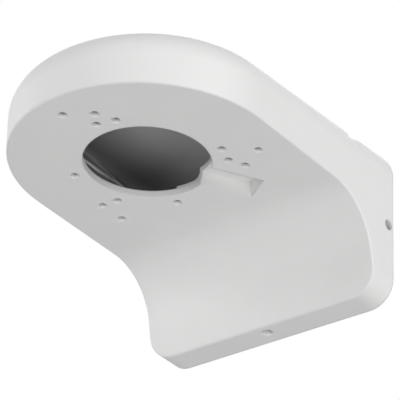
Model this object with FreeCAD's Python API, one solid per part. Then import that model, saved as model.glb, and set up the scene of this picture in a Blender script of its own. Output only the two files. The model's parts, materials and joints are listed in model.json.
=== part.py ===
import FreeCAD, Part
import math
import os

# Wall bracket for a dome camera, die-cast in one piece as an open-backed shell.
# Millimetres. X is to the right, +Y points into the wall and +Z is up.
# The origin lies in the wall plane, at the middle of the wall flange.

# Wall flange and foot
flange_width = 124.0
flange_height = 81.6
foot_drop = 42.0
foot_thickness = 13.6
foot_lean = 11.6
foot_corner = 12.2

# Arm and camera disc; the arm's depth is measured at the disc's centre
reach = 99.0
disc_radius = 61.0
arm_depth = 34.2
top_round = 16.5
underside_radius = 27.9
edge_break = 0.5

# Valley across the top, where the arm ends and the flange begins
flange_depth = 19.0
flange_front_round = 8.0
arm_end_round = 3.0
neck_drop = 1.4
neck_lean = 45.0

# Shell
wall = 3.4
floor_corner = 1.5

# Camera opening and the tapped holes round it, in four rings; each ring's angle
# is that of its first hole from the X axis.
camera_hole_radius = 28.2
tapped_hole_radius = 1.75
tapped_chamfer = 0.4
ring_radii = (34.4, 35.2, 42.2, 49.3)
ring_counts = (4, 3, 3, 3)
ring_angles = (15.4, 30.4, 36.4, 21.8)

# Land on top of the floor, which gives the tapped holes their depth
land_height = 1.4
land_start_radius = 31.0
land_end_radius = 53.4

# Cable groove, a blind recess that runs out of the camera opening
groove_angle = 57.5
groove_width = 14.2
groove_depth = 7.2
groove_end_radius = 51.2
groove_cover = 2.8
groove_side_wall = 2.0
groove_flare = 3.3
groove_land_width = 40.0
groove_cover_setback = 0.5

# Level ridges that the cores left along the hollow's upper corners
ridge_z = 31.0
ridge_height = 0.8
ridge_depth = 0.8
ridge_length = 70.0
ridge_spacing = 96.0

# Fixing screws through the foot and the flange's sides
fixing_hole_radius = 2.3
fixing_chamfer = 0.5
foot_hole_setback = 8.2
side_hole_setback = 3.6
side_hole_drop = 2.3

# Gussets behind the bend and the lugs that hang on the wall
gusset_thickness = 2.6
gusset_spacing = 48.0
gusset_height = 11.0
gusset_wall_gap = 6.0
lug_spacing = 64.0
lug_width = 14.0
lug_thickness = 3.0
lug_drop = 6.0
lug_setback = 6.0

# How far cutting shapes run past what they cut
margin = 5.0
# How near a point must be to a face to count as lying on it
touch = 0.01
# Faces that meet at more than this angle have an edge between them
sharp_angle = math.radians(20)
# Where along an edge its place is tested
stations = (0.02, 0.5, 0.98)

# Places worked out from the sizes above
bottom_z = -flange_height / 2
underside_z = bottom_z + foot_drop
floor_z = underside_z + wall
slope = math.atan((flange_height - foot_drop - arm_depth) / reach)
lean = math.radians(foot_lean)
arc_z = underside_z - underside_radius
arc_y = -foot_thickness - (underside_radius - (bottom_z - arc_z) * math.sin(lean)) / math.cos(lean)
front_y = -reach - disc_radius
block_width = flange_width + 2 * disc_radius
up = FreeCAD.Vector(0, 0, 1)
disc_centre = FreeCAD.Vector(0, -reach, underside_z)
top_normal = FreeCAD.Vector(0, -math.sin(slope), math.cos(slope))

# Where the straight sides leave the disc, as an angle from the X axis
side_angle = math.atan2(reach, flange_width / 2) - math.acos(
    disc_radius / math.hypot(flange_width / 2, reach))


def arm_top(y, inset=0.0):
    """Height of the arm's sloping top at a distance y from the wall, moved in by inset."""
    return underside_z + arm_depth + (y + reach) * math.tan(slope) - inset / math.cos(slope)


def at_disc(radius, degrees):
    """A point on the underside, on a circle round the camera opening."""
    a = math.radians(degrees)
    return disc_centre + FreeCAD.Vector(radius * math.cos(a), radius * math.sin(a), 0)


def face_of(edges):
    return Part.Face(Part.Wire(edges))


def samples(edge):
    first, last = edge.ParameterRange
    return [edge.valueAt(first + (last - first) * s) for s in stations]


def edges_where(shape, test):
    return [edge for edge in shape.Edges if all(test(p) for p in samples(edge))]


def is_sharp(shape, edge):
    """Whether the two faces at an edge meet at an angle."""
    point = samples(edge)[1]
    faces = shape.ancestorsOfType(edge, Part.Face)
    if len(faces) != 2:
        return False
    normals = [face.normalAt(*face.Surface.parameter(point)) for face in faces]
    return normals[0].getAngle(normals[1]) > sharp_angle


def side_view(inset, back_y):
    """The arm and foot seen from the side, moved in by inset, as a slab wider than the flange."""
    radius = underside_radius + inset
    low = bottom_z + inset
    floor = underside_z + inset
    far = front_y - margin
    foot_y = arc_y + (radius - (low - arc_z) * math.sin(lean)) / math.cos(lean)

    def point(y, z):
        return FreeCAD.Vector(-block_width / 2, y, z)

    def on_arc(angle):
        return point(arc_y + radius * math.cos(angle), arc_z + radius * math.sin(angle))

    corners = [
        on_arc(math.pi / 2),
        point(far, floor),
        point(far, arm_top(far, inset)),
        point(back_y, arm_top(back_y, inset)),
        point(back_y, low),
        point(foot_y, low),
        on_arc(lean),
    ]
    edges = [Part.makeLine(a, b) for a, b in zip(corners, corners[1:])]
    edges.append(Part.Arc(corners[-1], on_arc((lean + math.pi / 2) / 2), corners[0]).toShape())
    return face_of(edges).extrude(FreeCAD.Vector(block_width, 0, 0))


def plan_view(inset, back_y):
    """The disc and the arm's sides, moved in by inset, as a block square to the sloping top."""
    radius = disc_radius - inset
    low = bottom_z - flange_height
    high = bottom_z + 2 * flange_height
    back_y += flange_height
    x = radius * math.cos(side_angle)
    y = -reach + radius * math.sin(side_angle)
    back_x = x - (back_y - y) * math.tan(side_angle)
    left = FreeCAD.Vector(-x, y, low)
    right = FreeCAD.Vector(x, y, low)
    tip = FreeCAD.Vector(0, -reach - radius, low)
    back_left = FreeCAD.Vector(-back_x, back_y, low)
    back_right = FreeCAD.Vector(back_x, back_y, low)
    edges = [
        Part.makeLine(back_left, left),
        Part.Arc(left, tip, right).toShape(),
        Part.makeLine(right, back_right),
        Part.makeLine(back_right, back_left),
    ]
    block = face_of(edges).extrude(up * (high - low))
    block.rotate(disc_centre, FreeCAD.Vector(1, 0, 0), math.degrees(slope))
    return block


def arm_body(inset, back_y):
    """The arm, disc and foot as one block, moved in by inset on every side but the back."""
    body = side_view(inset, back_y).common(plan_view(inset, back_y)).removeSplitter()
    corner_x = flange_width / 2 - foot_corner

    def on_top_side(p):
        return abs(p.z - arm_top(p.y, inset)) < touch and p.y < back_y - touch

    def on_foot_side(p):
        return abs(p.z - bottom_z - inset) < touch and abs(p.x) > corner_x

    body = body.makeFillet(top_round - inset, edges_where(body, on_top_side))
    return body.makeFillet(foot_corner - inset, edges_where(body, on_foot_side))


def with_neck(body):
    """The body with the arm's end and the flange's front rounded down into a shallow valley.

    The valley runs forwards as it comes down the sides, so it is cut with the body turned until
    the valley stands upright.
    """
    hinge = FreeCAD.Vector(0, -flange_depth, arm_top(-flange_depth))
    across = FreeCAD.Vector(1, 0, 0)
    low = hinge.z - 2 * top_round
    front = -flange_depth - 3 * arm_end_round
    back = -flange_depth + flange_front_round + arm_end_round
    down = FreeCAD.Rotation(across, neck_lean).multVec(top_normal) * -neck_drop
    upright = body.copy()
    upright.rotate(hinge, across, neck_lean)

    def slice_of(start, end):
        box = Part.makeBox(block_width, end - start, flange_height,
                           FreeCAD.Vector(-block_width / 2, start, low))
        return upright.common(box)

    def rounded(block, radius):
        ends = edges_where(block, lambda p: abs(p.y + flange_depth) < touch and p.z > low + touch)
        return block.makeFillet(radius, ends)

    arm_end = rounded(slice_of(front, -flange_depth), arm_end_round)
    flange_front = rounded(slice_of(-flange_depth, back), flange_front_round)
    whole = slice_of(front, back)
    valley = whole.copy()
    valley.translate(down)
    result = upright.cut(whole).fuse([arm_end, flange_front, valley.common(whole)])
    result = result.removeSplitter()
    result.rotate(hinge, across, -neck_lean)
    return result


def outer_form():
    """The whole outside, with its lower edges broken except where it meets the wall."""
    body = arm_body(0, 0)
    broken = [edge for edge in body.Edges
              if is_sharp(body, edge) and max(p.y for p in samples(edge)) < -touch]
    return with_neck(body.makeChamfer(edge_break, broken))


def inner_form():
    """The hollow, open towards the wall, with broken corners along the disc's floor."""
    body = arm_body(wall, margin)
    on_floor = edges_where(body, lambda p: abs(p.z - floor_z) < touch and p.y < arc_y)
    return body.makeChamfer(floor_corner, [edge for edge in on_floor if is_sharp(body, edge)])


def screw_places():
    return [at_disc(radius, first + 360.0 * i / count)
            for radius, count, first in zip(ring_radii, ring_counts, ring_angles)
            for i in range(count)]


def ring_block(inner, outer, low, high):
    """A flat ring round the camera opening, between two heights above the underside."""
    place = disc_centre + up * low
    return Part.makeCylinder(outer, high - low, place).cut(
        Part.makeCylinder(inner, high - low, place))


def screw_land():
    return ring_block(land_start_radius, land_end_radius, wall / 2, wall + land_height)


def tapped_hole(place):
    """A hole cut up through the floor and the land on it, with a chamfered mouth."""
    depth = wall + land_height
    bore = Part.makeCylinder(tapped_hole_radius, depth + 2 * margin, place - up * margin)
    mouth = Part.makeCone(tapped_hole_radius + tapped_chamfer, tapped_hole_radius,
                          tapped_chamfer, place, up)
    return bore.fuse(mouth)


def groove_block(side, low, high, end):
    """A block that starts inside the opening and runs along X to end, side wide each way."""
    start = camera_hole_radius / 2
    return Part.makeBox(end - start, 2 * side, high - low, FreeCAD.Vector(start, -side, low))


def turned_to_groove(block):
    """A block that was drawn at the origin, along X, put in the groove's place."""
    block.rotate(FreeCAD.Vector(0, 0, 0), up, groove_angle)
    block.translate(disc_centre)
    return block


def groove_cut():
    return turned_to_groove(
        groove_block(groove_width / 2, -margin, groove_depth, groove_end_radius))


def groove_cover_boss():
    """The thickening over the groove, flared where it rises from the land."""
    side = groove_width / 2 + groove_side_wall
    end = groove_end_radius + groove_side_wall
    root = wall + land_height
    land = groove_block(groove_land_width / 2, wall / 2, root, end + groove_flare + touch)
    boss = groove_block(side, wall / 2, groove_depth + groove_cover, end)
    flared = land.fuse(boss)

    def at_corner(p):
        return abs(p.x - end) < touch and abs(abs(p.y) - side) < touch and p.z > root

    def at_root(p):
        inside = camera_hole_radius / 2 + touch < p.x < end + touch and abs(p.y) < side + touch
        return inside and abs(p.z - root) < touch

    flared = flared.makeChamfer(groove_flare, edges_where(flared, at_corner))
    return turned_to_groove(flared.makeFillet(groove_flare, edges_where(flared, at_root)))


def core_ridges():
    """A fine level ridge along each side of the hollow."""
    belt = arm_body(wall / 2, margin).cut(arm_body(wall + ridge_depth, margin))
    width = flange_width - ridge_spacing
    return [belt.common(Part.makeBox(width / 2, ridge_length, ridge_height,
                                     FreeCAD.Vector(x, -reach, ridge_z)))
            for x in (-flange_width / 2, ridge_spacing / 2)]


def gusset(x):
    """A rib that stiffens the bend from inside and stops short of the wall."""
    radius = underside_radius + wall / 2
    high = radius + gusset_height

    def point(angle, r):
        return FreeCAD.Vector(x, arc_y + r * math.cos(angle), arc_z + r * math.sin(angle))

    quarter, half_way = math.pi / 2, math.pi / 4
    edges = [
        Part.Arc(point(0, radius), point(half_way, radius), point(quarter, radius)).toShape(),
        Part.makeLine(point(quarter, radius), point(quarter, high)),
        Part.Arc(point(quarter, high), point(half_way, high), point(0, high)).toShape(),
        Part.makeLine(point(0, high), point(0, radius)),
    ]
    rib = face_of(edges).extrude(FreeCAD.Vector(gusset_thickness, 0, 0))
    clear = Part.makeBox(block_width, reach, flange_height,
                         FreeCAD.Vector(-block_width / 2, -reach - gusset_wall_gap, bottom_z))
    return rib.common(clear)


def gussets():
    middle = gusset_thickness / 2
    return [gusset(x - middle) for x in (-gusset_spacing / 2, gusset_spacing / 2)]


def hanging_lugs():
    """Two lugs under the top wall that drop over the hooks of what is fixed to the wall."""
    low = arm_top(-lug_setback, wall) - lug_drop
    height = wall / 2 + lug_drop
    return [Part.makeBox(lug_width, lug_thickness, height,
                         FreeCAD.Vector(x - lug_width / 2, -lug_setback - lug_thickness, low))
            for x in (-lug_spacing / 2, lug_spacing / 2)]


def fixing_hole(start, axis):
    """A clearance hole with a chamfered mouth, cut inwards from start."""
    bore = Part.makeCylinder(fixing_hole_radius, 2 * wall + margin, start - axis * margin, axis)
    mouth = Part.makeCone(fixing_hole_radius + fixing_chamfer, fixing_hole_radius,
                          fixing_chamfer, start, axis)
    return bore.fuse(mouth)


def fixing_holes():
    """One hole up through the foot and one in through each side of the flange."""
    holes = [fixing_hole(FreeCAD.Vector(0, -foot_hole_setback, bottom_z), up)]
    side_x = flange_width / 2 + side_hole_setback * math.tan(side_angle)
    for sign in (-1, 1):
        start = FreeCAD.Vector(sign * side_x, -side_hole_setback, -side_hole_drop)
        holes.append(fixing_hole(start, FreeCAD.Vector(-sign, 0, 0)))
    return holes


def camera_hole():
    """The round opening; above the floor it stands back from the groove's cover."""
    opening = Part.makeCylinder(camera_hole_radius, wall + 2 * margin, disc_centre - up * margin)
    above = Part.makeCylinder(camera_hole_radius + groove_cover_setback, arm_depth / 2,
                              disc_centre + up * wall)
    return opening.fuse(above)


def bracket():
    outside = outer_form()
    shell = outside.cut(inner_form())
    inside = [screw_land(), groove_cover_boss()] + core_ridges() + gussets() + hanging_lugs()
    added = inside[0].multiFuse(inside[1:]).common(outside)
    taps = [tapped_hole(place) for place in screw_places()]
    holes = [camera_hole(), groove_cut()] + taps + fixing_holes()
    return shell.fuse(added).cut(holes).removeSplitter()


os.makedirs("parts", exist_ok=True)
part = bracket()
print("solids", len(part.Solids), "valid", part.isValid(), "volume", round(part.Volume), "mm3")
part.Solids[0].exportStep("parts/bracket_casting.step")
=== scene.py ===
import json
import math

import bmesh
import bpy
from mathutils import Matrix, Vector


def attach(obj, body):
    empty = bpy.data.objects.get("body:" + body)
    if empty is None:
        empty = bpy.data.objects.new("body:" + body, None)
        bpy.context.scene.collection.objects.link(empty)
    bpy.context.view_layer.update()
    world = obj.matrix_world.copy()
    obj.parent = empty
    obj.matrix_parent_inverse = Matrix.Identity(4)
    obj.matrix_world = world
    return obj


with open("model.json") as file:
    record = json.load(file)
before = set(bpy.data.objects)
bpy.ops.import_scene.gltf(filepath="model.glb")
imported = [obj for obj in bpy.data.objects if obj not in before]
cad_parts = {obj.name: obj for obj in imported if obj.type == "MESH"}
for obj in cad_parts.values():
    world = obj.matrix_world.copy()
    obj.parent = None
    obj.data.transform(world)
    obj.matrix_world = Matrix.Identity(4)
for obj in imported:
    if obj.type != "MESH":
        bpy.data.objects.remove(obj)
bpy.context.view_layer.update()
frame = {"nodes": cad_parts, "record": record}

bl_info = {
    "name": "Camera wall bracket",
    "version": (1, 0, 0),
    "blender": (4, 5, 0),
    "location": "View3D > Sidebar > Bracket",
    "description": "Finishes a cast camera wall bracket and sets it in a plain studio",
    "category": "Object",
}

CASTING = "bracket_casting"
BODY = "root"
MM = 0.001

# The tapped holes in the camera seat: hole circle radius, number of holes and
# the angle of the first hole from the X axis
SCREW_RINGS = (
    (34.4 * MM, 4, 15.4),
    (35.2 * MM, 3, 30.4),
    (42.2 * MM, 3, 36.4),
    (49.3 * MM, 3, 21.8),
)

# The lamps: name, and direction from the bracket in degrees round and up
LAMPS = (
    ("front", 5, -22),
    ("high", 10, 50),
    ("left", -30, 15),
    ("far_left", -70, 15),
    ("right", 92, 15),
    ("low_right", 70, -31),
    ("low_back", 165, -30),
    ("back", 200, 40),
)
LAMP_AIM = Vector((0, -80 * MM, 0))

# Half the size of the painted highlight on the lower edge of each ridge in the hollow,
# and over what distance the painted highlight fades out
HIGHLIGHT_HALF_WIDTH, HIGHLIGHT_SOFT_WIDTH = 0.7 * MM, 0.3 * MM
HIGHLIGHT_HALF_HEIGHT, HIGHLIGHT_SOFT_HEIGHT = 0.5 * MM, 0.2 * MM
# How far below the ridge's edge the painted light along the roof's round corners starts and is
# full
CORNER_LIGHT_START, CORNER_LIGHT_FULL = 0.8 * MM, 0.4 * MM

# Grain of the coat, of the cast skin and of cut metal. Grit is the share of fine
# grit on the swellings, a low tone is the darkest share of a colour, and a swing
# is how far the roughness goes from its mean, or on the cast skin from its lowest
NOISE_LOW, NOISE_HIGH = 0.3, 0.7
GRIT_PER_SWELLING = 4.3
PALE_LOW_TONE = 0.985
COAT_GRIT = 0.22
COAT_ROUGHNESS_SWING = 0.03
MOTTLE_SIZE = 24 * MM
CAST_GRAIN_SIZE = 0.7 * MM
CAST_GRIT = 0.6
CAST_HEIGHT = 3.0        # times the height of the coat's swellings
CAST_LOW_TONE = 0.85
CAST_ROUGHNESS_SWING = 0.1
CUT_GRAIN_SIZE = 0.25 * MM
CUT_GRIT = 0.5
CUT_ROUGHNESS = (0.3, 0.42)
FLOOR_PATCHES = 3.0      # to the metre
EDGE_SAMPLES = 6

# The thread's section: half its foot as a share of the pitch, half its crest as
# a share of that, and how deep the foot is sunk in the bore's wall
THREAD_FOOT = 0.42
THREAD_CREST = 0.15
THREAD_SUNK = 0.05 * MM

# The colour sockets of a Mix node: its two inputs and its output
MIX_COLOURS, MIX_RESULT = (6, 7), 2


def mount(name):
    """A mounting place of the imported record, by name."""
    for entry in frame["record"]["mounts"]:
        if entry["name"] == name:
            return entry
    raise KeyError(name)


class CastingSizes(bpy.types.PropertyGroup):
    """The casting's own sizes, which the finish follows."""

    wall: bpy.props.FloatProperty(
        name="Wall", description="Thickness of the casting's wall",
        default=3.4 * MM, min=1 * MM, subtype="DISTANCE")
    disc_radius: bpy.props.FloatProperty(
        name="Disc radius", description="Radius of the round camera seat",
        default=61 * MM, min=10 * MM, subtype="DISTANCE")
    reach: bpy.props.FloatProperty(
        name="Reach", description="From the wall to the middle of the camera seat",
        default=99 * MM, min=10 * MM, subtype="DISTANCE")
    half_width: bpy.props.FloatProperty(
        name="Half width", description="Half the width of the wall flange",
        default=62 * MM, min=10 * MM, subtype="DISTANCE")
    underside: bpy.props.FloatProperty(
        name="Underside height", description="Height of the camera seat's face",
        default=1.2 * MM, subtype="DISTANCE")
    foot_drop: bpy.props.FloatProperty(
        name="Foot drop", description="From the camera seat's face down to the foot's bottom",
        default=42 * MM, min=5 * MM, subtype="DISTANCE")
    arm_depth: bpy.props.FloatProperty(
        name="Arm depth", description="Depth of the arm over the middle of the seat",
        default=34.2 * MM, min=5 * MM, subtype="DISTANCE")
    top_rise: bpy.props.FloatProperty(
        name="Top rise", description="How far the top climbs from the seat's middle to the wall",
        default=5.4 * MM, subtype="DISTANCE")
    top_round: bpy.props.FloatProperty(
        name="Top round", description="Radius of the round along the top",
        default=16.5 * MM, min=1 * MM, subtype="DISTANCE")
    bend_radius: bpy.props.FloatProperty(
        name="Bend radius", description="Radius of the concave bend under the arm",
        default=27.9 * MM, min=5 * MM, subtype="DISTANCE")
    foot_thickness: bpy.props.FloatProperty(
        name="Foot thickness", description="From the wall to the foot's front edge",
        default=13.6 * MM, min=1 * MM, subtype="DISTANCE")
    foot_lean: bpy.props.FloatProperty(
        name="Foot lean", description="How far the foot's front leans back from upright",
        default=math.radians(11.6), subtype="ANGLE")
    foot_corner: bpy.props.FloatProperty(
        name="Foot corner", description="Radius of the foot's lower corners",
        default=12.2 * MM, min=1 * MM, subtype="DISTANCE")
    opening_radius: bpy.props.FloatProperty(
        name="Opening radius", description="Radius of the camera opening",
        default=mount("camera_opening")["dims"]["r_mm"] * MM, min=1 * MM,
        subtype="DISTANCE")
    groove_angle: bpy.props.FloatProperty(
        name="Groove angle", description="Direction of the cable groove from the X axis",
        default=math.radians(57.5), subtype="ANGLE")
    groove_width: bpy.props.FloatProperty(
        name="Groove width", description="Width of the cable groove",
        default=14.2 * MM, min=1 * MM, subtype="DISTANCE")
    groove_depth: bpy.props.FloatProperty(
        name="Groove depth", description="Depth of the cable groove",
        default=7.2 * MM, min=1 * MM, subtype="DISTANCE")
    groove_end: bpy.props.FloatProperty(
        name="Groove end", description="From the seat's middle to the end of the cable groove",
        default=51.2 * MM, min=1 * MM, subtype="DISTANCE")
    ridge_edge: bpy.props.FloatVectorProperty(
        name="Ridge edge",
        description="Lower edge of the ridges high in the hollow, across and up",
        default=(52.5 * MM, 30.9 * MM), size=2, unit="LENGTH")
    # The next five values set a painted pool of light on the hollow's roof over the opening and
    # along its round corners
    light_pool_middle: bpy.props.FloatVectorProperty(
        name="Light pool middle", description="Middle of the dusted roof, seen from below",
        default=(6 * MM, -80 * MM), size=2, unit="LENGTH")
    corner_light_span: bpy.props.FloatVectorProperty(
        name="Corner light span", description="Where coat dust lies along the roof's round corners: "
        "its start and end across, and its start and end towards the wall",
        default=(32 * MM, 53 * MM, -88 * MM, -52 * MM), size=4, unit="LENGTH")
    corner_light_share: bpy.props.FloatProperty(
        name="Corner light share", description="Dust along the round corners against dust on the roof",
        default=0.27, min=0, max=1, subtype="FACTOR")
    light_pool_near: bpy.props.FloatProperty(
        name="Light pool near", description="How far out the roof over the opening is fully dusted",
        default=15 * MM, min=0, subtype="DISTANCE")
    light_pool_far: bpy.props.FloatProperty(
        name="Light pool far", description="How far out the last dusting of coat ends",
        default=64 * MM, min=0, subtype="DISTANCE")


class CoatFinish(bpy.types.PropertyGroup):
    """The powder coat outside, and the bare casting inside coloured very dark as painted shade of
    the hollow, with a painted pool of light and a painted highlight in there.
    """

    coat_colour: bpy.props.FloatVectorProperty(
        name="Coat colour", description="Colour of the powder coat",
        default=(0.835, 0.835, 0.83), size=3, min=0, max=1, subtype="COLOR")
    coat_roughness: bpy.props.FloatProperty(
        name="Coat roughness", description="Roughness of the powder coat",
        default=0.5, min=0, max=1, subtype="FACTOR")
    peel_size: bpy.props.FloatProperty(
        name="Peel size", description="Distance from one soft swelling of the coat to the next",
        default=1.1 * MM, min=0.05 * MM, subtype="DISTANCE")
    peel_height: bpy.props.FloatProperty(
        name="Peel height", description="Height of the coat's soft swellings",
        default=0.012 * MM, min=0, subtype="DISTANCE", precision=6)
    edge_round: bpy.props.FloatProperty(
        name="Edge round", description="Radius to which the coat softens every sharp edge",
        default=1.2 * MM, min=0, subtype="DISTANCE")
    # Painted shade: the bare casting inside is given a very dark colour for the shade of the
    # hollow
    metal_shade_colour: bpy.props.FloatVectorProperty(
        name="Metal shade colour", description="Colour of the bare casting inside",
        default=(0.14, 0.14, 0.144), size=3, min=0, max=1, subtype="COLOR")
    metal_roughness: bpy.props.FloatProperty(
        name="Metal roughness", description="Roughness of the bare casting inside",
        default=0.5, min=0, max=1, subtype="FACTOR")
    metal_share: bpy.props.FloatProperty(
        name="Metal share", description="How far the bare casting's skin reflects as a metal",
        default=0.12, min=0, max=1, subtype="FACTOR")
    # Painted light: how far the pool of light over the opening brightens the dark inside towards
    # the coat's colour
    light_pool_share: bpy.props.FloatProperty(
        name="Light pool share", description="How much coat dusted the roof straight over the opening",
        default=0.75, min=0, max=1, subtype="FACTOR")
    # Painted highlight: how far the lower edge of the inner ridges is made pale like the coat
    highlight_strength: bpy.props.FloatProperty(
        name="Highlight strength", description="How much coat settled on the edges of the inner ridges",
        default=0.9, min=0, max=1, subtype="FACTOR")
    # Painted shade: below this depth, outside the lined places, the inside turns to the dark bare
    # casting
    shade_start: bpy.props.FloatProperty(
        name="Shade start", description="How deep the coat goes round an edge into the hollow",
        default=2.9 * MM, min=0, subtype="DISTANCE")
    shade_fade: bpy.props.FloatProperty(
        name="Shade fade", description="Over what depth the coat thins out to bare metal",
        default=0.4 * MM, min=0.01 * MM, subtype="DISTANCE")


class ThreadSizes(bpy.types.PropertyGroup):
    """The thread in the tapped holes, and its metal."""

    bore_radius: bpy.props.FloatProperty(
        name="Bore radius", description="Radius of the tapped holes",
        default=1.75 * MM, min=0.2 * MM, subtype="DISTANCE")
    crest: bpy.props.FloatProperty(
        name="Crest", description="How far the thread stands into the hole",
        default=0.17 * MM, min=0.01 * MM, subtype="DISTANCE")
    pitch: bpy.props.FloatProperty(
        name="Pitch", description="Rise of the thread in one turn",
        default=0.7 * MM, min=0.1 * MM, subtype="DISTANCE")
    plain_mouth: bpy.props.FloatProperty(
        name="Plain mouth", description="Depth of the hole's mouth that has no thread",
        default=1.7 * MM, min=0, subtype="DISTANCE")
    length: bpy.props.FloatProperty(
        name="Length", description="Length of thread in each hole",
        default=2.5 * MM, min=0.5 * MM, subtype="DISTANCE")
    steps: bpy.props.IntProperty(
        name="Steps", description="Straight steps in one turn of the thread",
        default=28, min=8)
    dark_colour: bpy.props.FloatVectorProperty(
        name="Dark colour", description="Darkest tone of the cut metal",
        default=(0.42, 0.42, 0.43), size=3, min=0, max=1, subtype="COLOR")
    bright_colour: bpy.props.FloatVectorProperty(
        name="Bright colour", description="Brightest tone of the cut metal",
        default=(0.52, 0.52, 0.53), size=3, min=0, max=1, subtype="COLOR")


class StudioLight(bpy.types.PropertyGroup):
    """The plain studio round the bracket: soft lamps in a ring and an even room light."""

    front_power: bpy.props.FloatProperty(
        name="Front power", description="Power of the lamp in front, a little below",
        default=6.5, min=0, unit="POWER")
    high_power: bpy.props.FloatProperty(
        name="High power", description="Power of the lamp high up in front",
        default=2.2, min=0, unit="POWER")
    left_power: bpy.props.FloatProperty(
        name="Left power", description="Power of the lamp on the left in front",
        default=2.7, min=0, unit="POWER")
    far_left_power: bpy.props.FloatProperty(
        name="Far left power", description="Power of the lamp far to the left",
        default=6.1, min=0, unit="POWER")
    right_power: bpy.props.FloatProperty(
        name="Right power", description="Power of the lamp straight to the right",
        default=9.8, min=0, unit="POWER")
    low_right_power: bpy.props.FloatProperty(
        name="Low right power", description="Power of the lamp low on the right",
        default=7.3, min=0, unit="POWER")
    low_back_power: bpy.props.FloatProperty(
        name="Low back power", description="Power of the lamp low behind the wall flange",
        default=1.1, min=0, unit="POWER")
    back_power: bpy.props.FloatProperty(
        name="Back power", description="Power of the lamp high up behind the wall flange",
        default=2.4, min=0, unit="POWER")
    lamp_size: bpy.props.FloatProperty(
        name="Lamp size", description="Width of each square lamp",
        default=0.7, min=0.05, subtype="DISTANCE")
    lamp_distance: bpy.props.FloatProperty(
        name="Lamp distance", description="From each lamp to the middle of the bracket",
        default=1.6, min=0.3, subtype="DISTANCE")
    room_level: bpy.props.FloatProperty(
        name="Room level", description="Brightness of the light that comes evenly from the room",
        default=0.195, min=0)
    floor_drop: bpy.props.FloatProperty(
        name="Floor drop", description="How far the floor lies below the wall flange's middle",
        default=1.3, min=0.1, subtype="DISTANCE")
    floor_size: bpy.props.FloatProperty(
        name="Floor size", description="Width of the floor",
        default=8.0, min=1, subtype="DISTANCE")
    floor_colour: bpy.props.FloatVectorProperty(
        name="Floor colour", description="Colour of the floor",
        default=(0.86, 0.86, 0.86), size=3, min=0, max=1, subtype="COLOR")
    floor_glow: bpy.props.FloatProperty(
        name="Floor glow", description="How much paler the floor is to the camera than its light",
        default=0.42, min=0, max=1)


class PhotoView(bpy.types.PropertyGroup):
    """The camera that matches the photograph."""

    azimuth: bpy.props.FloatProperty(
        name="Azimuth", description="Turn of the camera round the bracket",
        default=math.radians(38.446), subtype="ANGLE")
    climb: bpy.props.FloatProperty(
        name="Climb", description="How steeply the camera looks up",
        default=math.radians(31.766), subtype="ANGLE")
    roll: bpy.props.FloatProperty(
        name="Roll", description="Turn of the camera about its own axis",
        default=math.radians(2.702), subtype="ANGLE")
    distance: bpy.props.FloatProperty(
        name="Distance", description="From the camera to the point that it aims at",
        default=1.0202, min=0.1, subtype="DISTANCE")
    aim: bpy.props.FloatVectorProperty(
        name="Aim", description="The point that the camera aims near",
        default=(0, -60 * MM, -4.6 * MM), size=3, subtype="XYZ", unit="LENGTH")
    aim_pixel: bpy.props.FloatVectorProperty(
        name="Aim pixel", description="Where that point lies in the photograph, across and down",
        default=(200.588, 213.174), size=2)
    focal_pixels: bpy.props.FloatProperty(
        name="Focal length", description="Focal length in the photograph's pixels",
        default=2308.28, min=1)
    frame_pixels: bpy.props.FloatProperty(
        name="Frame", description="Width of the photograph in pixels",
        default=400, min=1)


def feed(tree, value, socket):
    """Links a socket to the given one, or sets it to a plain value."""
    if isinstance(value, bpy.types.NodeSocket):
        tree.links.new(value, socket)
    else:
        socket.default_value = value


def calc(tree, operation, *values):
    """A math node with the given operands, each a socket or a number."""
    node = tree.nodes.new("ShaderNodeMath")
    node.operation = operation
    for socket, value in zip(node.inputs, values):
        feed(tree, value, socket)
    return node.outputs[0]


def remap(tree, value, low, high, new_low=0.0, new_high=1.0):
    """A smooth step of a value between two levels."""
    node = tree.nodes.new("ShaderNodeMapRange")
    node.interpolation_type = "SMOOTHSTEP"
    tree.links.new(value, node.inputs["Value"])
    for name, setting in (("From Min", low), ("From Max", high),
                          ("To Min", new_low), ("To Max", new_high)):
        node.inputs[name].default_value = setting
    return node.outputs["Result"]


def between(tree, value, low, high, soft):
    """1 between two levels, with a soft edge on each side."""
    rise = remap(tree, value, low - soft, low + soft)
    fall = remap(tree, value, high - soft, high + soft, 1.0, 0.0)
    return calc(tree, "MULTIPLY", rise, fall)


def noise(tree, position, scale, detail):
    """The value of a noise at a position. Its scale is a socket or a number."""
    node = tree.nodes.new("ShaderNodeTexNoise")
    feed(tree, scale, node.inputs["Scale"])
    node.inputs["Detail"].default_value = detail
    tree.links.new(position, node.inputs["Vector"])
    return node.outputs["Fac"]


def tone_mask(tree, value):
    """A noise's value spread out to a mask that reaches 0 and 1."""
    return remap(tree, value, NOISE_LOW, NOISE_HIGH)


def new_group(name, inputs, outputs):
    """An empty node group with named float inputs and outputs."""
    tree = bpy.data.node_groups.new(name, "ShaderNodeTree")
    for socket, default in inputs:
        made = tree.interface.new_socket(socket, in_out="INPUT", socket_type="NodeSocketFloat")
        made.default_value = default
    for socket in outputs:
        tree.interface.new_socket(socket, in_out="OUTPUT", socket_type="NodeSocketFloat")
    start = tree.nodes.new("NodeGroupInput")
    end = tree.nodes.new("NodeGroupOutput")
    return tree, start, end


def place_group(material, group, **settings):
    """The group as a node of the material, with its own values."""
    node = material.node_tree.nodes.new("ShaderNodeGroup")
    node.node_tree = group
    for name, value in settings.items():
        node.inputs[name].default_value = value
    return node


def length_of(tree, a, b):
    """The length of a vector with two parts."""
    square = calc(tree, "ADD", calc(tree, "MULTIPLY", a, a), calc(tree, "MULTIPLY", b, b))
    return calc(tree, "SQRT", square)


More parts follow.
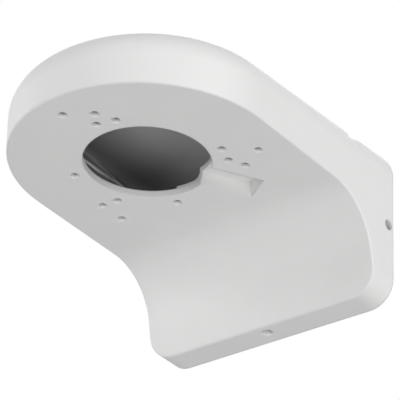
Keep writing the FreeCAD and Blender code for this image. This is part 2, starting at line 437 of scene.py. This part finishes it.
def rounded_depth(tree, first, second, radius):
    """Depth below a surface whose two faces, at the given depths, meet in a round."""
    a = calc(tree, "MAXIMUM", calc(tree, "SUBTRACT", radius, first), 0.0)
    b = calc(tree, "MAXIMUM", calc(tree, "SUBTRACT", radius, second), 0.0)
    return calc(tree, "SUBTRACT", radius, length_of(tree, a, b))


def pick(tree, test, if_true, if_false):
    """One of two values, by a test that is 0 or 1."""
    gap = calc(tree, "SUBTRACT", if_true, if_false)
    return calc(tree, "MULTIPLY_ADD", gap, test, if_false)


def shell_depth(tree, sizes, x, z, along, height, bottom):
    """Depth below the casting's sides, its round top and the foot's bottom."""
    slope = math.atan(sizes.top_rise / sizes.reach)
    plan = calc(tree, "MULTIPLY_ADD", height, math.tan(slope), along)
    widening = (sizes.half_width - sizes.disc_radius) / sizes.reach
    side = calc(tree, "MULTIPLY_ADD", calc(tree, "MAXIMUM", plan, 0.0), widening,
                sizes.disc_radius)
    outline = calc(tree, "SUBTRACT", side,
                   length_of(tree, x, calc(tree, "MINIMUM", plan, 0.0)))
    roof = calc(tree, "MULTIPLY_ADD", along, math.tan(slope), sizes.arm_depth)
    top = calc(tree, "MULTIPLY", calc(tree, "SUBTRACT", roof, height), math.cos(slope))
    shell = rounded_depth(tree, outline, top, sizes.top_round)
    foot = rounded_depth(tree, outline, calc(tree, "SUBTRACT", z, bottom), sizes.foot_corner)
    return calc(tree, "MINIMUM", shell, foot)


def under_depth(tree, sizes, y, z, height, bottom):
    """Depth above the arm's underside, and behind the bend and the foot's front."""
    lean = sizes.foot_lean
    arc_z = sizes.underside - sizes.bend_radius
    arc_y = -sizes.foot_thickness - (
        sizes.bend_radius - (bottom - arc_z) * math.sin(lean)) / math.cos(lean)
    from_y = calc(tree, "SUBTRACT", y, arc_y)
    from_z = calc(tree, "SUBTRACT", z, arc_z)
    radial = calc(tree, "SUBTRACT", length_of(tree, from_y, from_z), sizes.bend_radius)
    flat = calc(tree, "MULTIPLY_ADD", from_y, math.cos(lean),
                calc(tree, "MULTIPLY_ADD", from_z, math.sin(lean), -sizes.bend_radius))
    below_arc = calc(tree, "LESS_THAN", from_z, sizes.bend_radius * math.sin(lean))
    bend = pick(tree, below_arc, flat, radial)
    return pick(tree, calc(tree, "LESS_THAN", from_y, 0.0), height, bend)


def groove_lining(tree, sizes, x, along, height):
    """1 in the cable groove and just round it."""
    angle = sizes.groove_angle
    spare = sizes.wall / 3
    out = calc(tree, "MULTIPLY_ADD", x, math.cos(angle),
               calc(tree, "MULTIPLY", along, math.sin(angle)))
    across = calc(tree, "ABSOLUTE", calc(tree, "MULTIPLY_ADD", x, -math.sin(angle),
                                         calc(tree, "MULTIPLY", along, math.cos(angle))))
    groove = calc(tree, "LESS_THAN", across, sizes.groove_width / 2 + spare)
    for test in (
            calc(tree, "LESS_THAN", out, sizes.groove_end + spare),
            calc(tree, "GREATER_THAN", out, 0.0),
            calc(tree, "LESS_THAN", height, sizes.groove_depth + spare)):
        groove = calc(tree, "MULTIPLY", groove, test)
    return groove


def opening_lining(tree, sizes, x, along, height):
    """1 on the wall of the camera opening, but not on the roof over it."""
    spare = sizes.wall / 3
    near_opening = calc(tree, "LESS_THAN", length_of(tree, x, along),
                        sizes.opening_radius + spare)
    low_down = calc(tree, "LESS_THAN", height, sizes.arm_depth / 2)
    return calc(tree, "MULTIPLY", near_opening, low_down)


def near_bore(tree, name, first, second, spare):
    """1 within a fixing hole's bore and its rim, told by the two axes across the hole."""
    hole = mount(name)
    centre = [value for value, along in zip(hole["pos_m"], hole["axis"]) if abs(along) < 0.5]
    reach = length_of(tree, calc(tree, "SUBTRACT", first, centre[0]),
                      calc(tree, "SUBTRACT", second, centre[1]))
    return calc(tree, "LESS_THAN", reach, hole["dims"]["r_mm"] * MM + spare)


def fixing_lining(tree, sizes, x, y, z, depth):
    """1 in the fixing holes. The side holes face each other, so one stands for both."""
    rim = sizes.wall / 8
    in_wall = calc(tree, "LESS_THAN", depth, sizes.wall + rim)
    holes = calc(tree, "MAXIMUM", near_bore(tree, "foot_screw_hole", x, y, rim),
                 near_bore(tree, "side_screw_hole_right", y, z, rim))
    return calc(tree, "MULTIPLY", holes, in_wall)


def highlight_band_mask(tree, sizes, x, z):
    """1 on the lower edge of the ridges high in the hollow, where the painted highlight goes."""
    edge_x, edge_z = sizes.ridge_edge
    across = between(tree, calc(tree, "ABSOLUTE", x), edge_x - HIGHLIGHT_HALF_WIDTH,
                     edge_x + HIGHLIGHT_HALF_WIDTH, HIGHLIGHT_SOFT_WIDTH)
    up = between(tree, z, edge_z - HIGHLIGHT_HALF_HEIGHT, edge_z + HIGHLIGHT_HALF_HEIGHT,
                 HIGHLIGHT_SOFT_HEIGHT)
    return calc(tree, "MULTIPLY", across, up)


def painted_light_mask(tree, sizes, x, y, z):
    """A painted pool of light on the roof over the opening and along its round corners."""
    pool_x, pool_y = sizes.light_pool_middle
    from_pool_middle = length_of(tree, calc(tree, "SUBTRACT", x, pool_x),
                           calc(tree, "SUBTRACT", y, pool_y))
    brightening = remap(tree, from_pool_middle, sizes.light_pool_near, sizes.light_pool_far, 1.0, 0.0)
    first_x, last_x, first_y, last_y = sizes.corner_light_span
    corner = calc(tree, "MULTIPLY", remap(tree, calc(tree, "ABSOLUTE", x), first_x, last_x),
                  remap(tree, y, first_y, last_y, 1.0, 0.0))
    edge_z = sizes.ridge_edge[1]
    above = remap(tree, z, edge_z - CORNER_LIGHT_START, edge_z - CORNER_LIGHT_FULL)
    corner = calc(tree, "MULTIPLY", calc(tree, "MULTIPLY", corner, above), sizes.corner_light_share)
    return calc(tree, "MAXIMUM", brightening, corner)


def hollow_group(sizes):
    """How deep a point lies below the outside, what the coat lines, where the ridges' painted
    highlight goes and where the painted pool of light lies.
    """
    tree, _, end = new_group("Depth in the casting", (), ("Depth", "Lining", "Ridge", "Dust"))
    place = tree.nodes.new("ShaderNodeNewGeometry").outputs["Position"]
    split = tree.nodes.new("ShaderNodeSeparateXYZ")
    tree.links.new(place, split.inputs[0])
    x, y, z = split.outputs
    bottom = sizes.underside - sizes.foot_drop
    along = calc(tree, "ADD", y, sizes.reach)
    height = calc(tree, "SUBTRACT", z, sizes.underside)

    depth = calc(tree, "MINIMUM", shell_depth(tree, sizes, x, z, along, height, bottom),
                 under_depth(tree, sizes, y, z, height, bottom))
    lining = calc(tree, "MAXIMUM", groove_lining(tree, sizes, x, along, height),
                  opening_lining(tree, sizes, x, along, height))
    lining = calc(tree, "MAXIMUM", lining, fixing_lining(tree, sizes, x, y, z, depth))
    results = {
        "Depth": depth,
        "Lining": lining,
        "Ridge": highlight_band_mask(tree, sizes, x, z),
        "Dust": painted_light_mask(tree, sizes, x, y, z),
    }
    for name, value in results.items():
        tree.links.new(value, end.inputs[name])
    return tree


def grain_group():
    """Soft swellings with finer grit on them, as a height and as an even mask."""
    tree, start, end = new_group(
        "Surface grain", (("Size", 0.001), ("Grit", 0.3)), ("Height", "Mask"))
    place = tree.nodes.new("ShaderNodeTexCoord").outputs["Object"]
    per_size = calc(tree, "DIVIDE", 1.0, start.outputs["Size"])
    soft = noise(tree, place, per_size, detail=1.0)
    fine = noise(tree, place, calc(tree, "MULTIPLY", per_size, GRIT_PER_SWELLING),
                 detail=3.0)
    height = calc(tree, "MULTIPLY_ADD", fine, start.outputs["Grit"], soft)
    tree.links.new(height, end.inputs["Height"])
    tree.links.new(tone_mask(tree, soft), end.inputs["Mask"])
    return tree


def mottle_group():
    """Slow, faint changes of tone over the whole surface."""
    tree, start, end = new_group("Slow mottle", (("Size", 0.03),), ("Mask",))
    place = tree.nodes.new("ShaderNodeTexCoord").outputs["Object"]
    slow = noise(tree, place, calc(tree, "DIVIDE", 1.0, start.outputs["Size"]), detail=2.0)
    tree.links.new(tone_mask(tree, slow), end.inputs["Mask"])
    return tree


def new_material(name):
    """A material with only a Principled shader, and that shader."""
    material = bpy.data.materials.new(name)
    material.use_nodes = True
    shader = next(n for n in material.node_tree.nodes if n.type == "BSDF_PRINCIPLED")
    return material, shader


def mix_colour(tree, factor, first, second):
    """Two colours mixed by a mask, each a socket or a colour."""
    node = tree.nodes.new("ShaderNodeMix")
    node.data_type = "RGBA"
    tree.links.new(factor, node.inputs["Factor"])
    for index, value in zip(MIX_COLOURS, (first, second)):
        if not isinstance(value, bpy.types.NodeSocket):
            value = (*value, 1.0)
        feed(tree, value, node.inputs[index])
    return node.outputs[MIX_RESULT]


def mix_value(tree, factor, first, second):
    """A value that goes from first to second with a mask."""
    return calc(tree, "MULTIPLY_ADD", factor, second - first, first)


def shaded(colour, share):
    """A share of a colour."""
    return tuple(channel * share for channel in colour)


def powder_coat_material(sizes, finish, grain, mottle):
    """White powder coat outside that thins out to the bare casting inside the hollow, coloured
    very dark as painted shade, with painted light over the opening and on the ridges.
    """
    material, shader = new_material("White powder coat")
    tree = material.node_tree
    hollow = place_group(material, hollow_group(sizes))
    peel = place_group(material, grain, Size=finish.peel_size, Grit=COAT_GRIT)
    cast = place_group(material, grain, Size=CAST_GRAIN_SIZE, Grit=CAST_GRIT)
    slow = place_group(material, mottle, Size=MOTTLE_SIZE)

    # Painted shade: deep in the hollow, away from the lined places, the surface takes the dark
    # bare casting's colour
    deep = remap(tree, hollow.outputs["Depth"], finish.shade_start,
                 finish.shade_start + finish.shade_fade)
    unlined = calc(tree, "SUBTRACT", 1.0, hollow.outputs["Lining"])
    bare = calc(tree, "MULTIPLY", deep, unlined)
    # Painted highlight: the ridges' lower edges take the coat's pale colour instead of the dark
    # metal
    painted_highlight = calc(tree, "MULTIPLY", hollow.outputs["Ridge"], finish.highlight_strength)
    bare = calc(tree, "MULTIPLY", bare, calc(tree, "SUBTRACT", 1.0, painted_highlight))

    coat = mix_colour(tree, slow.outputs["Mask"], shaded(finish.coat_colour, PALE_LOW_TONE),
                      finish.coat_colour)
    metal = mix_colour(tree, cast.outputs["Mask"], shaded(finish.metal_shade_colour, CAST_LOW_TONE),
                       finish.metal_shade_colour)
    # Painted light: the dark inside is brightened towards the coat's colour over the opening and
    # along the roof's round corners
    lit_roof = calc(tree, "MULTIPLY", hollow.outputs["Dust"], finish.light_pool_share)
    metal = mix_colour(tree, lit_roof, metal, coat)
    tree.links.new(mix_colour(tree, bare, coat, metal), shader.inputs["Base Color"])
    tree.links.new(calc(tree, "MULTIPLY", bare, finish.metal_share), shader.inputs["Metallic"])

    coat_rough = mix_value(tree, peel.outputs["Mask"],
                           finish.coat_roughness - COAT_ROUGHNESS_SWING,
                           finish.coat_roughness + COAT_ROUGHNESS_SWING)
    cast_rough = calc(tree, "MULTIPLY_ADD", cast.outputs["Mask"], CAST_ROUGHNESS_SWING,
                      finish.metal_roughness)
    tree.links.new(pick(tree, bare, cast_rough, coat_rough), shader.inputs["Roughness"])

    height = pick(tree, bare, calc(tree, "MULTIPLY", cast.outputs["Height"], CAST_HEIGHT),
                  peel.outputs["Height"])
    edges = tree.nodes.new("ShaderNodeBevel")
    edges.samples = EDGE_SAMPLES
    edges.inputs["Radius"].default_value = finish.edge_round
    bump = tree.nodes.new("ShaderNodeBump")
    tree.links.new(edges.outputs["Normal"], bump.inputs["Normal"])
    bump.inputs["Distance"].default_value = finish.peel_height
    bump.inputs["Strength"].default_value = 1.0
    tree.links.new(height, bump.inputs["Height"])
    tree.links.new(bump.outputs["Normal"], shader.inputs["Normal"])
    return material


def thread_material(thread, grain):
    """Bright cut metal in the tapped holes."""
    material, shader = new_material("Cut thread")
    tree = material.node_tree
    cut = place_group(material, grain, Size=CUT_GRAIN_SIZE, Grit=CUT_GRIT)
    colour = mix_colour(tree, cut.outputs["Mask"], thread.dark_colour, thread.bright_colour)
    tree.links.new(colour, shader.inputs["Base Color"])
    tree.links.new(mix_value(tree, cut.outputs["Mask"], *CUT_ROUGHNESS),
                   shader.inputs["Roughness"])
    shader.inputs["Metallic"].default_value = 1.0
    return material


def seen_directly(tree):
    """1 for what the camera sees itself, in a reflection or through glass."""
    paths = tree.nodes.new("ShaderNodeLightPath")
    return calc(tree, "MAXIMUM", paths.outputs["Is Camera Ray"],
                calc(tree, "MAXIMUM", paths.outputs["Is Glossy Ray"],
                     paths.outputs["Is Transmission Ray"]))


def floor_material(colour, glow):
    """A pale matt floor that is nearly white wherever no shadow falls on it."""
    material, shader = new_material("Pale floor")
    tree = material.node_tree
    place = tree.nodes.new("ShaderNodeTexCoord").outputs["Object"]
    patch = tone_mask(tree, noise(tree, place, FLOOR_PATCHES, detail=2.0))
    tree.links.new(mix_colour(tree, patch, shaded(colour, PALE_LOW_TONE), colour),
                   shader.inputs["Base Color"])
    shader.inputs["Roughness"].default_value = 0.9
    shader.inputs["Specular IOR Level"].default_value = 0.1
    shader.inputs["Emission Color"].default_value = (1, 1, 1, 1)
    tree.links.new(mix_value(tree, seen_directly(tree), 0.0, glow),
                   shader.inputs["Emission Strength"])
    material.cycles.emission_sampling = "NONE"
    return material


def link_object(name, data):
    """A new object of the scene."""
    piece = bpy.data.objects.new(name, data)
    bpy.context.scene.collection.objects.link(piece)
    return piece


def surface_groups():
    """The shared node groups, built once."""
    grain = bpy.data.node_groups.get("Surface grain") or grain_group()
    mottle = bpy.data.node_groups.get("Slow mottle") or mottle_group()
    return grain, mottle


class BRACKET_OT_coat_casting(bpy.types.Operator):
    """Give the casting its powder coat outside and its bare metal inside, darkened as painted
    shade
    """

    bl_idname = "bracket.coat_casting"
    bl_label = "Coat the casting"

    def execute(self, context):
        scene = context.scene
        grain, mottle = surface_groups()
        coat = powder_coat_material(scene.bracket_sizes, scene.bracket_finish, grain, mottle)
        slots = frame["nodes"][CASTING].material_slots
        if len(slots) == 0:
            raise RuntimeError("the casting has no material slot")
        for slot in slots:
            slot.link = "OBJECT"
            slot.material = coat
        return {"FINISHED"}


def thread_turns(mesh, centre, sizes):
    """A ridge that climbs round the inside of one hole and fades out at both ends."""
    count = round(sizes.length / sizes.pitch * sizes.steps)
    foot = sizes.pitch * THREAD_FOOT
    crest = foot * THREAD_CREST
    root = sizes.bore_radius + THREAD_SUNK
    start = sizes.bore_radius + THREAD_SUNK / 2
    rings = []
    for step in range(count + 1):
        angle = 2 * math.pi * step / sizes.steps
        rise = sizes.plain_mouth + foot + sizes.length * step / count
        fade = min(1.0, step / sizes.steps, (count - step) / sizes.steps)
        tip = start - (sizes.crest + THREAD_SUNK / 2) * fade
        ring = []
        for radius, offset in ((root, -foot), (tip, -crest), (tip, crest), (root, foot)):
            place = Vector((radius * math.cos(angle), radius * math.sin(angle), rise + offset))
            ring.append(mesh.verts.new(centre + place))
        rings.append(ring)
    for low, high in zip(rings, rings[1:]):
        for side in range(len(low)):
            after = (side + 1) % len(low)
            mesh.faces.new((low[side], low[after], high[after], high[side]))
    mesh.faces.new(rings[0][::-1])
    mesh.faces.new(rings[-1])


class BRACKET_OT_cut_threads(bpy.types.Operator):
    """Cut the thread in each tapped hole of the camera seat"""

    bl_idname = "bracket.cut_threads"
    bl_label = "Cut the threads"

    def execute(self, context):
        sizes = context.scene.bracket_sizes
        thread = context.scene.bracket_thread
        mesh = bmesh.new()
        for radius, count, first in SCREW_RINGS:
            for index in range(count):
                angle = math.radians(first + 360 * index / count)
                centre = Vector((radius * math.cos(angle),
                                 radius * math.sin(angle) - sizes.reach, sizes.underside))
                thread_turns(mesh, centre, thread)
        bmesh.ops.recalc_face_normals(mesh, faces=mesh.faces)
        data = bpy.data.meshes.new("tapped_threads")
        mesh.to_mesh(data)
        mesh.free()
        piece = link_object("tapped_threads", data)
        grain, _ = surface_groups()
        data.materials.append(thread_material(thread, grain))
        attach(piece, BODY)
        return {"FINISHED"}


def soft_lamp(name, turn, climb, power, light):
    """A square lamp that faces the bracket from a direction, in degrees round and up."""
    data = bpy.data.lights.new(name, "AREA")
    data.shape = "SQUARE"
    data.size = light.lamp_size
    data.energy = power
    lamp = link_object(name, data)
    round_about, up = math.radians(turn), math.radians(climb)
    outwards = Vector((math.sin(round_about) * math.cos(up),
                       -math.cos(round_about) * math.cos(up), math.sin(up)))
    place = LAMP_AIM + outwards * light.lamp_distance
    facing = outwards.to_track_quat("Z", "Y")
    lamp.matrix_world = Matrix.Translation(place) @ facing.to_matrix().to_4x4()


def studio_world(level):
    """White to the camera and in reflections, and an even room light on everything else."""
    world = bpy.data.worlds.new("Studio")
    world.use_nodes = True
    tree = world.node_tree
    tree.nodes.clear()
    light = tree.nodes.new("ShaderNodeBackground")
    tree.links.new(mix_value(tree, seen_directly(tree), level, 1.0), light.inputs["Strength"])
    light.inputs["Color"].default_value = (1, 1, 1, 1)
    output = tree.nodes.new("ShaderNodeOutputWorld")
    tree.links.new(light.outputs[0], output.inputs["Surface"])
    return world


class BRACKET_OT_set_stage(bpy.types.Operator):
    """Lay the floor and set the lamps and the room light"""

    bl_idname = "bracket.set_stage"
    bl_label = "Set the stage"

    def execute(self, context):
        light = context.scene.bracket_light
        half = light.floor_size / 2
        data = bpy.data.meshes.new("floor")
        corners = [(-half, -half, 0), (half, -half, 0), (half, half, 0), (-half, half, 0)]
        data.from_pydata(corners, [], [(0, 1, 2, 3)])
        floor = link_object("floor", data)
        floor.location.z = -light.floor_drop
        data.materials.append(floor_material(light.floor_colour, light.floor_glow))
        for name, turn, climb in LAMPS:
            soft_lamp(name + "_lamp", turn, climb, getattr(light, name + "_power"), light)
        context.scene.world = studio_world(light.room_level)
        context.scene.view_settings.view_transform = "Standard"
        return {"FINISHED"}


class BRACKET_OT_place_camera(bpy.types.Operator):
    """Place the camera where the photograph was taken from"""

    bl_idname = "bracket.place_camera"
    bl_label = "Place the camera"

    def execute(self, context):
        view = context.scene.bracket_view
        forward = Vector((-math.sin(view.azimuth) * math.cos(view.climb),
                          math.cos(view.azimuth) * math.cos(view.climb),
                          math.sin(view.climb)))
        level = forward.cross(Vector((0, 0, 1))).normalized()
        upright = level.cross(forward)
        right = level * math.cos(view.roll) + upright * math.sin(view.roll)
        up = upright * math.cos(view.roll) - level * math.sin(view.roll)
        middle = (view.frame_pixels - 1) / 2
        scale = view.distance / view.focal_pixels
        across = (view.aim_pixel[0] - middle) * scale
        down = (view.aim_pixel[1] - middle) * scale
        place = Vector(view.aim) - forward * view.distance - right * across + up * down

        data = bpy.data.cameras.new("photo_camera")
        data.sensor_width = 36
        data.lens = view.focal_pixels * data.sensor_width / view.frame_pixels
        data.clip_start = 0.01
        camera = link_object("photo_camera", data)
        turn = Matrix((right, up, -forward)).transposed().to_4x4()
        camera.matrix_world = Matrix.Translation(place) @ turn
        context.scene.camera = camera
        return {"FINISHED"}


class BRACKET_PT_panel(bpy.types.Panel):
    """The steps that finish the bracket, and their values"""

    bl_idname = "BRACKET_PT_panel"
    bl_label = "Camera wall bracket"
    bl_space_type = "VIEW_3D"
    bl_region_type = "UI"
    bl_category = "Bracket"

    def draw(self, context):
        layout = self.layout
        for step in OPERATORS:
            layout.operator(step.bl_idname)
        for name in GROUPS:
            values = getattr(context.scene, name)
            box = layout.box()
            for key in values.bl_rna.properties.keys():
                if key not in ("rna_type", "name"):
                    box.prop(values, key)


GROUPS = {
    "bracket_sizes": CastingSizes,
    "bracket_finish": CoatFinish,
    "bracket_thread": ThreadSizes,
    "bracket_light": StudioLight,
    "bracket_view": PhotoView,
}
OPERATORS = (
    BRACKET_OT_place_camera,
    BRACKET_OT_coat_casting,
    BRACKET_OT_cut_threads,
    BRACKET_OT_set_stage,
)
CLASSES = (*GROUPS.values(), *OPERATORS, BRACKET_PT_panel)


def register():
    for cls in CLASSES:
        bpy.utils.register_class(cls)
    for name, group in GROUPS.items():
        setattr(bpy.types.Scene, name, bpy.props.PointerProperty(type=group))


def unregister():
    for name in GROUPS:
        delattr(bpy.types.Scene, name)
    for cls in reversed(CLASSES):
        bpy.utils.unregister_class(cls)


def main():
    register()
    bpy.ops.bracket.place_camera()
    bpy.ops.bracket.coat_casting()
    bpy.ops.bracket.cut_threads()
    bpy.ops.bracket.set_stage()


if __name__ == "__main__":
    main()
